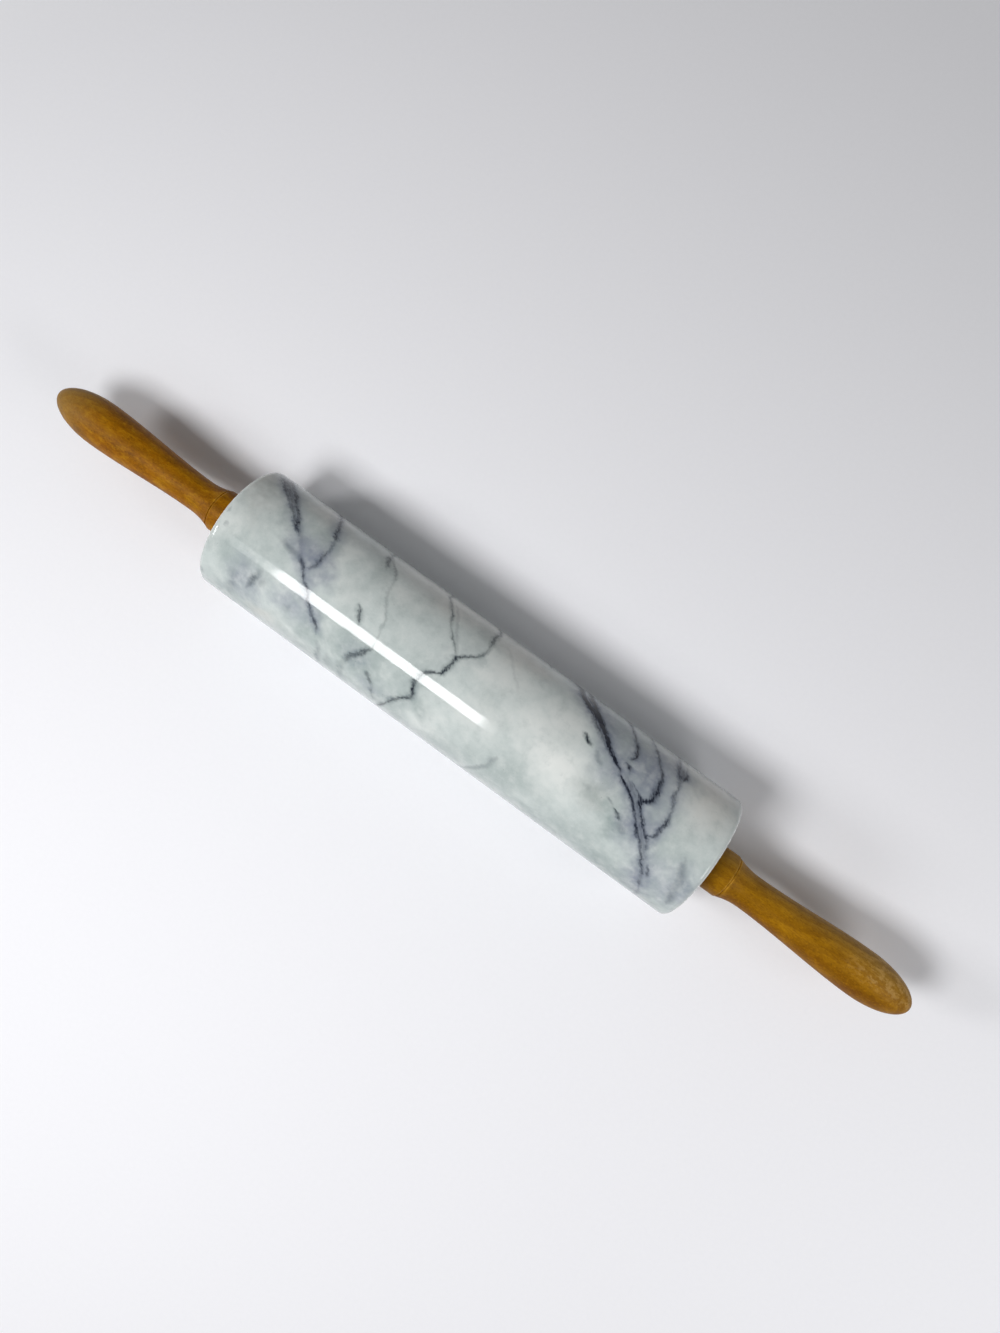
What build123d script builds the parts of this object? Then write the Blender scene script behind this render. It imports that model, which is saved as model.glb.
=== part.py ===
from build123d import *
import os

# Marble rolling pin in millimetres. X is the spin axis, +Z is up, and the origin is on the axis
# at the middle of the barrel. Both ends are built from one set of values: a station is a
# distance outward along the axis, so the left end is the right end turned round.

os.makedirs("parts", exist_ok=True)

# Steel axle: a plain journal between two shoulders, with a thread at each end
axle_radius = 4.0
shoulder_step = 1.0
thread_chamfer = 0.8
relief_depth = 0.4
relief_width = 1.2
axle_tip_projection = 2.5

# Marble barrel: a ground and polished cylinder, drilled through and stepped at both mouths
barrel_length = 254.0
barrel_radius = 30.0
barrel_edge_radius = 3.0
axle_room = 3.0

# Nylon bushings: a flanged sleeve glued into each mouth of the barrel's bore
running_clearance = 0.05
sleeve_step = 2.0
sleeve_length = 16.0
flange_overlap = 2.0
flange_thickness = 1.2
bushing_chamfer = 0.4
glue_gap = 0.05

# Thrust washers, which the lock nuts hold against the axle's shoulders
end_play = 0.3
washer_radius = 9.0
washer_thickness = 1.0
washer_clearance = 0.2
washer_chamfer = 0.2

# Lock nuts
nut_across_flats = 10.0
nut_thickness = 5.0
nut_cone_depth = 0.6
nut_cone_share = 0.6  # of the width across flats, just outside the corners
thread_clearance = 0.05

# Threaded brass inserts, glued into the handles behind the lock nuts
insert_wall = 1.55
insert_length = 16.0
insert_rib_count = 5
insert_rib_height = 0.4
insert_rib_gap_share = 0.45

# Turned wooden handles
handle_length = 104.5
collar_radius = 10.45
collar_length = 10.2
collar_rounding = 0.9
groove_width = 0.9
groove_depth = 1.05
cove_drop = 0.55
cove_length = 10.4
waist_radius = 8.1
bulb_radius = 10.8
nose_length = 25.0
nut_recess_clearance = 0.6
nut_recess_spare = 1.5
tip_spare = 4.0

# Radii that follow from the axle outward
thread_radius = axle_radius - shoulder_step
journal_bore_radius = axle_radius + running_clearance
barrel_bore_radius = axle_radius + axle_room
sleeve_radius = barrel_bore_radius + sleeve_step
flange_radius = sleeve_radius + flange_overlap
tapped_radius = thread_radius + thread_clearance
insert_radius = tapped_radius + insert_wall
nut_cone_radius = nut_across_flats * nut_cone_share
groove_floor_radius = collar_radius - groove_depth
cove_top_radius = collar_radius - cove_drop

# Stations outward from the middle of the barrel
barrel_end = barrel_length / 2
sleeve_start = barrel_end - sleeve_length
flange_face = barrel_end + flange_thickness
shoulder = flange_face + end_play
washer_face = shoulder + washer_thickness
nut_face = washer_face + nut_thickness
insert_start = nut_face + nut_recess_spare
insert_end = insert_start + insert_length
axle_end = insert_end + axle_tip_projection
blind_end = axle_end + tip_spare
handle_end = washer_face + handle_length
collar_end = washer_face + collar_length
groove_floor = collar_end + groove_width / 2
cove_top = collar_end + groove_width
waist = cove_top + cove_length
bulb = handle_end - nose_length
taper_length = bulb - waist

sides = {"left": -1, "right": 1}


def profile_plane(direction):
    """The half section of one end: local X runs outward along the axis, local Y is the radius."""
    return Plane(origin=(0, 0, 0), x_dir=(direction, 0, 0), z_dir=(0, 0, 1))


def cross_plane(direction, station):
    """A plane square to the axis at a station, facing outward."""
    return Plane(origin=(direction * station, 0, 0), z_dir=(direction, 0, 0))


# Barrel: the stepped mouths are drilled from both end faces
with BuildPart() as marble_barrel:
    with BuildSketch(Plane.YZ):
        Circle(barrel_radius)
    extrude(amount=barrel_end, both=True)
    rims = marble_barrel.edges().filter_by(GeomType.CIRCLE)
    fillet(rims, radius=barrel_edge_radius)
    for direction in sides.values():
        with Locations(cross_plane(direction, barrel_end)):
            CounterBoreHole(
                radius=barrel_bore_radius,
                counter_bore_radius=sleeve_radius + glue_gap,
                counter_bore_depth=sleeve_length + glue_gap,
            )
marble_barrel.part.label = "marble_barrel"
export_step(marble_barrel.part, "parts/marble_barrel.step")

# Axle: journal, thread reliefs at the shoulders, and chamfered thread ends
with BuildPart() as axle_rod:
    for direction in sides.values():
        with BuildSketch(profile_plane(direction)):
            with BuildLine():
                Polyline(
                    (0, 0),
                    (0, axle_radius),
                    (shoulder, axle_radius),
                    (shoulder, thread_radius - relief_depth),
                    (shoulder + relief_width, thread_radius - relief_depth),
                    (shoulder + relief_width + relief_depth, thread_radius),
                    (axle_end - thread_chamfer, thread_radius),
                    (axle_end, thread_radius - thread_chamfer),
                    (axle_end, 0),
                    close=True,
                )
            make_face()
        revolve(axis=Axis.X)
axle_rod.part.label = "axle_rod"
export_step(axle_rod.part, "parts/axle_rod.step")

for side, direction in sides.items():
    # Bushing: its flange stands proud of the marble and takes the end thrust
    with BuildPart() as bushing:
        with BuildSketch(profile_plane(direction)):
            with BuildLine():
                Polyline(
                    (sleeve_start, journal_bore_radius),
                    (sleeve_start, sleeve_radius - bushing_chamfer),
                    (sleeve_start + bushing_chamfer, sleeve_radius),
                    (barrel_end, sleeve_radius),
                    (barrel_end, flange_radius),
                    (flange_face - bushing_chamfer, flange_radius),
                    (flange_face, flange_radius - bushing_chamfer),
                    (flange_face, journal_bore_radius),
                    close=True,
                )
            make_face()
        revolve(axis=Axis.X)
    bushing.part.label = f"{side}_bushing"
    export_step(bushing.part, f"parts/{side}_bushing.step")

    # Thrust washer: seated on the axle's shoulder, clear of the bushing by the end play
    with BuildPart() as washer:
        with BuildSketch(cross_plane(direction, shoulder)):
            Circle(washer_radius)
            Circle(thread_radius + washer_clearance, mode=Mode.SUBTRACT)
        extrude(amount=washer_thickness)
        outer_rims = washer.edges().filter_by(GeomType.CIRCLE).group_by(SortBy.RADIUS)[-1]
        chamfer(outer_rims, length=washer_chamfer)
    washer.part.label = f"{side}_washer"
    export_step(washer.part, f"parts/{side}_washer.step")

    # Lock nut: a hexagon whose corners are turned down to a cone on both faces
    with BuildPart() as lock_nut:
        with BuildSketch(cross_plane(direction, washer_face)):
            RegularPolygon(nut_across_flats / 2, side_count=6, major_radius=False)
            Circle(tapped_radius, mode=Mode.SUBTRACT)
        extrude(amount=nut_thickness)
        with BuildSketch(profile_plane(direction)):
            with BuildLine():
                Polyline(
                    (washer_face, 0),
                    (washer_face, nut_across_flats / 2),
                    (washer_face + nut_cone_depth, nut_cone_radius),
                    (nut_face - nut_cone_depth, nut_cone_radius),
                    (nut_face, nut_across_flats / 2),
                    (nut_face, 0),
                    close=True,
                )
            make_face()
        revolve(axis=Axis.X, mode=Mode.INTERSECT)
    lock_nut.part.label = f"{side}_lock_nut"
    export_step(lock_nut.part, f"parts/{side}_lock_nut.step")

    # Threaded insert: ribs round the outside bite into the glue
    rib_pitch = insert_length / insert_rib_count
    with BuildPart() as insert:
        with BuildSketch(cross_plane(direction, insert_start)):
            Circle(insert_radius)
            Circle(tapped_radius, mode=Mode.SUBTRACT)
        extrude(amount=insert_length)
        for rib in range(insert_rib_count - 1):
            valley = insert_start + rib_pitch * (rib + 1)
            with BuildSketch(profile_plane(direction)):
                with BuildLine():
                    Polyline(
                        (valley - rib_pitch * insert_rib_gap_share / 2, insert_radius),
                        (valley, insert_radius - insert_rib_height),
                        (valley + rib_pitch * insert_rib_gap_share / 2, insert_radius),
                        close=True,
                    )
                make_face()
            revolve(axis=Axis.X, mode=Mode.SUBTRACT)
    insert.part.label = f"{side}_insert"
    export_step(insert.part, f"parts/{side}_insert.step")

    # Handle: collar, groove, cove, tapering grip and elliptical nose, drilled from the collar
    with BuildPart() as handle:
        with BuildSketch(profile_plane(direction)):
            with BuildLine():
                FilletPolyline(
                    (washer_face, 0),
                    (washer_face, collar_radius),
                    (collar_end, collar_radius),
                    (groove_floor, groove_floor_radius),
                    radius=collar_rounding,
                )
                Line((groove_floor, groove_floor_radius), (cove_top, cove_top_radius))
                TangentArc((waist, waist_radius), (cove_top, cove_top_radius), tangent=(-1, 0))
                Bezier(
                    (waist, waist_radius),
                    (waist + taper_length / 3, waist_radius),
                    (bulb - taper_length / 3, bulb_radius),
                    (bulb, bulb_radius),
                )
                EllipticalCenterArc((bulb, 0), nose_length, bulb_radius, start_angle=0, arc_size=90)
                Line((handle_end, 0), (washer_face, 0))
            make_face()
        revolve(axis=Axis.X)
        with Locations(cross_plane(direction, washer_face)):
            CounterBoreHole(
                radius=insert_radius + glue_gap,
                counter_bore_radius=nut_cone_radius + nut_recess_clearance,
                counter_bore_depth=insert_start - washer_face,
                depth=insert_end - washer_face,
            )
            Hole(radius=thread_radius + washer_clearance, depth=blind_end - washer_face)
    handle.part.label = f"{side}_handle"
    export_step(handle.part, f"parts/{side}_handle.step")
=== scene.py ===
import math

import bpy
from mathutils import Euler, Matrix, Vector


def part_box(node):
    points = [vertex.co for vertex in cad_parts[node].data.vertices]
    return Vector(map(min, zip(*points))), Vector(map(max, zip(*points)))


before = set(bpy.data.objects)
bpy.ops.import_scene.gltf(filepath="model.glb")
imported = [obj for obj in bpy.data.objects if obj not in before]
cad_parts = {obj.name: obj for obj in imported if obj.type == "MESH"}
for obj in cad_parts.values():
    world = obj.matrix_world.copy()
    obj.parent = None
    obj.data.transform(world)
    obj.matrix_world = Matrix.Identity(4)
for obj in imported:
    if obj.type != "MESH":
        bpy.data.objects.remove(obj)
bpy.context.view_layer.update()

# A polished marble rolling pin with varnished wooden handles, lying on a pale surface.
# Lengths in the materials are millimetres, and lengths elsewhere are metres.
MM = 0.001
DEGREES_IN_RADIAN = 180 / math.pi

barrel_low, barrel_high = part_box("marble_barrel")
handle_low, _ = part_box("right_handle")
BARREL_RADIUS = barrel_high.z / MM
HANDLE_START = handle_low.x / MM
FLOOR_Z = barrel_low.z

# The values that noise mostly takes, out of 0 to 1
NOISE_LOW = 0.3
NOISE_HIGH = 0.7

# The rays that show a thing to the camera, also in reflections and through clear material
RAYS_THAT_SEE = ("Is Camera Ray", "Is Glossy Ray", "Is Transmission Ray")
WHITE = (1.0, 1.0, 1.0, 1.0)
BLACK = (0.0, 0.0, 0.0, 1.0)


def srgb(red, green, blue):
    """A colour written as it looks, 0 to 255, turned into the linear values that shaders use."""
    def linear(value):
        share = value / 255
        return share / 12.92 if share <= 0.04045 else ((share + 0.055) / 1.055) ** 2.4
    return (linear(red), linear(green), linear(blue), 1.0)


class Field:
    """A number, colour or vector that varies over a surface: one output of a node tree."""

    def __init__(self, graph, socket):
        self.graph = graph
        self.socket = socket

    def __add__(self, other):
        return self.graph.math("ADD", self, other)

    __radd__ = __add__

    def __sub__(self, other):
        return self.graph.math("SUBTRACT", self, other)

    def __rsub__(self, other):
        return self.graph.math("SUBTRACT", other, self)

    def __mul__(self, other):
        return self.graph.math("MULTIPLY", self, other)

    __rmul__ = __mul__

    def __truediv__(self, other):
        return self.graph.math("DIVIDE", self, other)

    def __abs__(self):
        return self.graph.math("ABSOLUTE", self)

    def root(self):
        return self.graph.math("SQRT", self)

    def sign(self):
        return self.graph.math("SIGN", self)

    def fraction(self):
        return self.graph.math("FRACT", self)

    def at_least(self, other):
        return self.graph.math("MAXIMUM", self, other)

    def at_most(self, other):
        return self.graph.math("MINIMUM", self, other)

    def ramp(self, start, end, low=0.0, high=1.0):
        """Goes straight from low to high between two values of this field, and no further."""
        return self.graph.map_range("LINEAR", self, start, end, low, high)

    def fade(self, start, end, low=0.0, high=1.0):
        """Like ramp, but eased at both ends."""
        return self.graph.map_range("SMOOTHSTEP", self, start, end, low, high)

    def varied(self, low, high):
        """For noise: goes from low to high over the values that it mostly takes."""
        return self.ramp(NOISE_LOW, NOISE_HIGH, low, high)


class Graph:
    """A tree of shader nodes. Its methods add nodes and give back fields."""

    def __init__(self, tree):
        self.tree = tree
        self.tree.nodes.clear()

    def node(self, kind, **settings):
        made = self.tree.nodes.new(kind)
        for name, value in settings.items():
            setattr(made, name, value)
        return made

    def feed(self, socket, value):
        if isinstance(value, Field):
            self.tree.links.new(value.socket, socket)
        else:
            socket.default_value = value

    def made(self, node, *values, output=0):
        """Feeds the values to the node's first inputs and gives back one of its outputs."""
        for socket, value in zip(node.inputs, values):
            self.feed(socket, value)
        return None if output is None else Field(self, node.outputs[output])

    def math(self, operation, *values):
        return self.made(self.node("ShaderNodeMath", operation=operation), *values)

    def vector_math(self, operation, *values):
        return self.made(self.node("ShaderNodeVectorMath", operation=operation), *values)

    def map_range(self, easing, value, start, end, low, high):
        node = self.node("ShaderNodeMapRange", interpolation_type=easing, clamp=True)
        return self.made(node, value, start, end, low, high)

    def position(self):
        """The place on the piece at rest, in millimetres."""
        coordinates = self.node("ShaderNodeTexCoord")
        return self.stretched(Field(self, coordinates.outputs["Object"]), 1 / MM, 1 / MM, 1 / MM)

    def vector(self, x, y, z):
        return self.made(self.node("ShaderNodeCombineXYZ"), x, y, z)

    def stretched(self, vector, x, y, z):
        return self.vector_math("MULTIPLY", vector, (x, y, z))

    def split(self, vector):
        node = self.node("ShaderNodeSeparateXYZ")
        self.feed(node.inputs[0], vector)
        return [Field(self, socket) for socket in node.outputs]

    def noise(self, vector, size, detail=2.0, roughness=0.5, colour=False):
        """Noise from 0 to 1 whose blobs are about size millimetres across."""
        node = self.node("ShaderNodeTexNoise")
        self.feed(node.inputs["Vector"], vector)
        node.inputs["Scale"].default_value = 1 / size
        node.inputs["Detail"].default_value = detail
        node.inputs["Roughness"].default_value = roughness
        return Field(self, node.outputs["Color" if colour else 0])

    def cells(self, vector, size):
        """Cells about size millimetres across: 0 in the middle of each, and rising outward."""
        node = self.node("ShaderNodeTexVoronoi")
        self.feed(node.inputs["Vector"], vector)
        node.inputs["Scale"].default_value = 1 / size
        return Field(self, node.outputs["Distance"])

    def shaken(self, vector, *waves):
        """The vector moved about by one kind of wave after another. Each is (size, reach) in
        millimetres."""
        for size, reach in waves:
            noise = self.noise(vector, size, colour=True)
            centred = self.vector_math("SUBTRACT", noise, (0.5, 0.5, 0.5))
            moved = self.stretched(centred, 2 * reach, 2 * reach, 2 * reach)
            vector = self.vector_math("ADD", vector, moved)
        return vector

    def mix(self, share, first, second):
        """A colour that goes from first to second as share goes from 0 to 1."""
        node = self.node("ShaderNodeMix", data_type="RGBA")
        for name, value in (("Factor_Float", share), ("A_Color", first), ("B_Color", second)):
            socket = next(s for s in node.inputs if s.identifier == name)
            self.feed(socket, value)
        output = next(s for s in node.outputs if s.identifier == "Result_Color")
        return Field(self, output)

    def layered(self, colour, *layers):
        """The colour with each (share, shade) laid over it in turn."""
        for share, shade in layers:
            colour = self.mix(share, colour, shade)
        return colour

    def bump(self, height, relief):
        """A normal for a surface that stands relief millimetres higher at height 1 than at 0."""
        node = self.node("ShaderNodeBump")
        node.inputs["Distance"].default_value = relief * MM
        self.feed(node.inputs["Height"], height)
        return Field(self, node.outputs[0])

    def seen(self):
        """1 where the camera, a reflection or clear material shows a thing, and 0 for light."""
        rays = self.node("ShaderNodeLightPath")
        seen, *others = (Field(self, rays.outputs[name]) for name in RAYS_THAT_SEE)
        for other in others:
            seen = seen.at_least(other)
        return seen

    def use(self, formula, *values):
        node = self.node("ShaderNodeGroup", node_tree=formula.tree)
        return self.made(node, *values)


class Formula(Graph):
    """A small tree that others use many times: it takes values in and gives one number out."""

    def __init__(self, name, **inputs):
        super().__init__(bpy.data.node_groups.new(name, "ShaderNodeTree"))
        sockets = self.tree.interface
        for label, kind in inputs.items():
            sockets.new_socket(name=label, in_out="INPUT", socket_type=f"NodeSocket{kind}")
        sockets.new_socket(name="result", in_out="OUTPUT", socket_type="NodeSocketFloat")
        given = self.node("NodeGroupInput")
        self.given = [Field(self, given.outputs[label]) for label in inputs]

    def gives(self, result):
        self.made(self.node("NodeGroupOutput"), result, output=None)
        return self


class Surface(Graph):
    """The tree of one material."""

    def __init__(self, name):
        self.material = bpy.data.materials.new(name)
        self.material.use_nodes = True
        super().__init__(self.material.node_tree)

    def finish(self, **values):
        """Ends the tree in a Principled shader. Underscores in a name stand for spaces."""
        shader = self.node("ShaderNodeBsdfPrincipled")
        for name, value in values.items():
            self.feed(shader.inputs[name.replace("_", " ")], value)
        output = self.node("ShaderNodeOutputMaterial")
        self.tree.links.new(shader.outputs[0], output.inputs[0])
        return self.material


# Lines drawn on the marble, as points (turn, along, half width, strength). turn is the angle round
# the barrel in degrees, 0 on top at rest and rising towards -Y. along is the place along the axis
# and half width is measured along it, both in millimetres. Past a rim, along carries on inward
# over the end face. A line whose last turn is past SEAM has turns from 0 to 360.
SEAM = 180

# Dark lines with a violet rim
DARK_VEINS = [
    # The left pair, upper strand
    [(-172, -142, 0.0, 0.0), (-160, -135, 1.1, 0.5), (-140, -127, 1.1, 0.6),
     (-120, -122.5, 1.1, 0.6), (-100, -120, 1.3, 0.7), (-80, -118, 2.0, 0.75),
     (-70, -114.8, 2.4, 0.8), (-60, -110.6, 2.4, 0.85), (-50, -106.2, 2.0, 0.85),
     (-40, -101.4, 1.9, 0.85), (-34, -99.2, 2.3, 0.92), (-29, -97.4, 2.5, 0.9),
     (-25, -94.8, 1.4, 0.5), (-22, -93.0, 1.0, 0.2), (-16, -89.6, 1.0, 0.18),
     (-10, -87.2, 1.2, 0.4), (-6, -85, 2.2, 0.8), (-2, -83.5, 1.5, 0.7), (3.5, -80.6, 1.5, 0.75),
     (7.5, -77.6, 1.6, 0.8), (12, -75.8, 1.2, 0.6), (17, -73.9, 1.3, 0.8), (22, -70.6, 1.7, 0.75),
     (28, -67.2, 1.8, 0.73), (33, -65, 1.2, 0.5), (40, -63.6, 0.0, 0.0)],
    # The left pair, lower strand
    [(-138, -144, 0.0, 0.0), (-124, -137, 1.1, 0.5), (-108, -130.5, 1.1, 0.5),
     (-90, -125, 1.2, 0.5), (-75, -121.6, 2.0, 0.6), (-66, -118.4, 2.6, 0.75),
     (-59, -115.4, 2.8, 0.85), (-50, -111, 2.2, 0.8), (-43, -106.8, 1.7, 0.65),
     (-36, -102.2, 1.7, 0.7), (-30, -99, 1.5, 0.8), (-26.5, -97, 1.1, 0.6), (-23, -94.5, 0.0, 0.0)],
    # The grey between them
    [(-88, -121.5, 0.0, 0.0), (-70, -117, 4.0, 0.7), (-58, -113, 4.0, 0.75), (-46, -107, 3.6, 0.7),
     (-36, -101.5, 3.0, 0.65), (-24, -93.5, 2.4, 0.4), (-14, -88.5, 0.0, 0.0)],
    # The strand that comes down to meet the pair, and its stub on the far side
    [(-165, -103, 0.0, 0.0), (-140, -99, 0.9, 0.4), (-110, -95, 1.1, 0.5), (-85, -91.6, 1.3, 0.7),
     (-72, -88.9, 1.4, 0.8), (-62, -86.4, 1.3, 0.8), (-52, -84, 1.5, 0.9), (-44, -82.4, 1.5, 0.95),
     (-38, -81.0, 1.0, 0.5), (-30, -79.8, 1.1, 0.55), (-22, -79.9, 1.4, 0.75),
     (-15, -79.8, 1.4, 0.75), (-8, -81.2, 1.1, 0.6), (-3.5, -84, 0.0, 0.0)],
    # The long dark one of the right half
    [(-168, 15.5, 0.0, 0.0), (-160, 18, 1.4, 0.8), (-150, 22, 1.3, 0.8), (-135, 26.6, 1.5, 0.8),
     (-120, 29, 1.3, 0.65), (-95, 35.6, 1.6, 0.8), (-78, 40.6, 1.8, 0.95), (-68, 43.6, 2.6, 1.2),
     (-61, 46.4, 3.0, 1.45), (-55, 50.4, 3.5, 1.5), (-50, 54.2, 3.6, 1.5), (-46, 57.2, 3.1, 1.5),
     (-43, 59, 2.5, 1.45), (-40, 60.4, 2.1, 1.4), (-35, 63.2, 2.1, 1.3), (-32, 64.8, 2.1, 1.2),
     (-28, 67.2, 2.5, 1.25), (-25, 69.8, 2.1, 1.1), (-22, 73.2, 1.5, 0.85), (-20.3, 73.6, 1.3, 0.5),
     (-18.5, 74.6, 1.4, 0.8), (-16, 76.9, 2.1, 1.0), (-12, 80.2, 1.9, 1.05), (-8, 83.6, 2.0, 1.0),
     (-3, 86.8, 1.5, 0.85), (1.7, 89.6, 1.2, 0.8), (8, 92, 1.3, 0.88), (12.5, 94.4, 1.6, 0.93),
     (17.6, 97.2, 1.2, 0.76), (24.6, 100.4, 1.4, 0.8), (32, 102.9, 1.5, 0.84), (38, 105, 1.4, 0.8),
     (43, 106, 1.0, 0.4), (49, 107.3, 1.6, 0.75), (54, 108.4, 0.8, 0.35), (61.5, 109.5, 0.9, 0.4),
     (80, 111, 0.8, 0.35), (100, 112, 0.0, 0.0)],
    [(-100, 43, 0.0, 0.0), (-82, 46, 1.8, 0.75), (-72, 47.8, 2.3, 1.05), (-65, 49.8, 2.4, 1.3),
     (-60, 51.2, 2.4, 1.4), (-54, 54, 2.3, 1.35), (-48, 57.2, 1.8, 1.15), (-44, 59.4, 0.0, 0.0)],
    # The grey between its two upper strands, and the grey beside it
    [(-78, 44, 0.0, 0.0), (-66, 47.4, 2.6, 0.75), (-58, 50.8, 2.6, 0.9), (-51, 54.8, 2.0, 0.8),
     (-46, 57.4, 0.0, 0.0)],
    [(-55, 48.6, 0.0, 0.0), (-48, 52.2, 2.2, 0.65), (-43, 55.2, 2.8, 0.75), (-38, 58.4, 2.6, 0.7),
     (-33, 61.6, 1.8, 0.55), (-27, 65, 0.0, 0.0)],
    # The grey between its two lower strands
    [(-24, 74, 0.0, 0.0), (-14, 82, 2.8, 0.5), (-5, 88.2, 3.0, 0.5), (3, 92, 2.8, 0.5),
     (11, 95.8, 3.2, 0.5), (19, 99.4, 3.0, 0.45), (28, 103, 2.4, 0.35), (36, 105.6, 0.0, 0.0)],
    [(-21, 78.8, 0.0, 0.0), (-18, 81.3, 1.2, 0.55), (-14.5, 84.7, 1.5, 0.8),
     (-11.5, 87.4, 2.0, 1.0), (-7.5, 87.9, 1.6, 0.95), (-4, 90, 1.4, 0.9), (1.7, 92.9, 1.4, 0.9),
     (6.5, 95.6, 1.4, 0.85), (9.3, 97.4, 1.6, 0.85), (13, 98.8, 1.3, 0.55), (17.5, 99.9, 1.2, 0.55),
     (22, 100.6, 0.0, 0.0)],
    [(25, 104.6, 0.0, 0.0), (30.5, 105.8, 1.3, 0.6), (35, 107, 1.4, 0.7), (40, 107.8, 0.0, 0.0)],
    # The three loops that hang from it
    [(-144, 26, 0.0, 0.0), (-136, 34, 0.9, 0.5), (-126, 46, 1.1, 0.6), (-114, 56, 1.0, 0.5),
     (-100, 62.5, 1.0, 0.5), (-88, 65.6, 1.1, 0.6), (-77, 67.4, 1.3, 0.7), (-68, 69.6, 1.4, 0.75),
     (-59, 72.2, 1.4, 0.75), (-51, 74.4, 1.5, 0.9), (-44, 75.5, 1.6, 0.95), (-38, 75.6, 1.4, 0.9),
     (-34, 74.6, 1.1, 0.5), (-31.5, 74.4, 0.8, 0.25), (-28.5, 75.3, 1.7, 0.95),
     (-25, 76.5, 1.2, 0.45), (-20, 77.6, 0.0, 0.0)],
    [(-128, 45, 0.0, 0.0), (-119, 57, 0.9, 0.4), (-107, 68, 0.9, 0.4), (-90, 76.4, 0.9, 0.45),
     (-68, 80.8, 1.1, 0.6), (-58, 83.3, 1.2, 0.7), (-48, 86.2, 1.2, 0.7), (-40, 88.7, 1.4, 0.9),
     (-34, 90, 1.8, 1.0), (-28, 90.6, 2.0, 1.0), (-20, 90.8, 2.2, 1.05), (-15, 90.4, 2.1, 1.05),
     (-12.2, 88.6, 3.0, 1.05), (-10, 86.0, 0.0, 0.0)],
    [(-106, 86, 0.0, 0.0), (-95, 90.4, 0.9, 0.5), (-77, 93.4, 1.2, 0.6), (-64, 94, 1.4, 0.7),
     (-56, 94.6, 2.0, 0.85), (-50, 96.4, 1.7, 0.85), (-45, 97.2, 1.1, 0.6), (-36.5, 97.4, 1.0, 0.6),
     (-31, 97.6, 1.1, 0.62), (-24, 99.0, 1.0, 0.6), (-16, 100.1, 0.9, 0.55), (-9, 100.9, 1.4, 0.85),
     (-4, 100.4, 1.2, 0.8), (2, 100.4, 1.1, 0.75), (5.5, 99.9, 1.4, 0.75), (8, 98.5, 1.9, 0.85),
     (9.8, 95.8, 0.0, 0.0)],
    [(-73, 97.8, 0.0, 0.0), (-64, 98, 1.0, 0.5), (-57, 98.2, 1.4, 0.9), (-52, 98, 1.6, 1.0),
     (-47, 97.0, 0.0, 0.0)],
    [(-70, 95.8, 0.0, 0.0), (-60, 96.2, 2.8, 0.65), (-53, 96.8, 2.4, 0.8), (-46, 97.2, 0.0, 0.0)],
    # Underneath
    [(86, -107, 0.0, 0.0), (100, -99, 1.0, 0.5), (114, -95.4, 1.4, 0.75), (128, -90, 1.9, 0.95),
     (140, -84, 1.9, 0.95), (158, -79, 1.4, 0.7), (172, -71, 1.2, 0.55), (190, -66, 1.5, 0.85),
     (204, -58, 1.1, 0.5), (222, -52, 0.0, 0.0)],
    [(136, -85, 0.0, 0.0), (148, -88.5, 1.0, 0.5), (162, -96, 1.1, 0.6), (175, -99, 0.9, 0.4),
     (186, -104, 0.0, 0.0)],
    [(102, -42, 0.0, 0.0), (120, -33, 1.2, 0.6), (137, -23.5, 1.6, 0.8), (150, -17, 1.3, 0.65),
     (163, -6, 1.8, 0.9), (175, 3, 2.3, 1.05), (186, 11, 1.9, 0.95), (192, 15.5, 1.6, 0.9),
     (200, 18, 1.4, 0.8), (207, 20.8, 1.3, 0.7), (214, 23.6, 0.0, 0.0)],
    [(90, 62, 0.0, 0.0), (106, 65, 1.0, 0.5), (122, 73.5, 1.4, 0.75), (136, 78, 1.6, 0.85),
     (149, 85, 1.2, 0.7), (162, 91, 1.0, 0.5), (174, 97, 0.0, 0.0)],
    [(126, 91, 0.0, 0.0), (137, 89.5, 1.2, 0.75), (146, 86, 1.4, 0.8), (154, 80, 0.0, 0.0)],
    [(104, 124, 0.0, 0.0), (125, 119, 1.1, 0.5), (150, 113, 1.3, 0.8), (175, 117, 1.2, 0.7),
     (200, 124, 1.1, 0.7), (220, 131, 1.1, 0.7), (240, 138, 1.0, 0.5), (252, 143, 0.0, 0.0)],
]

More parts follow.
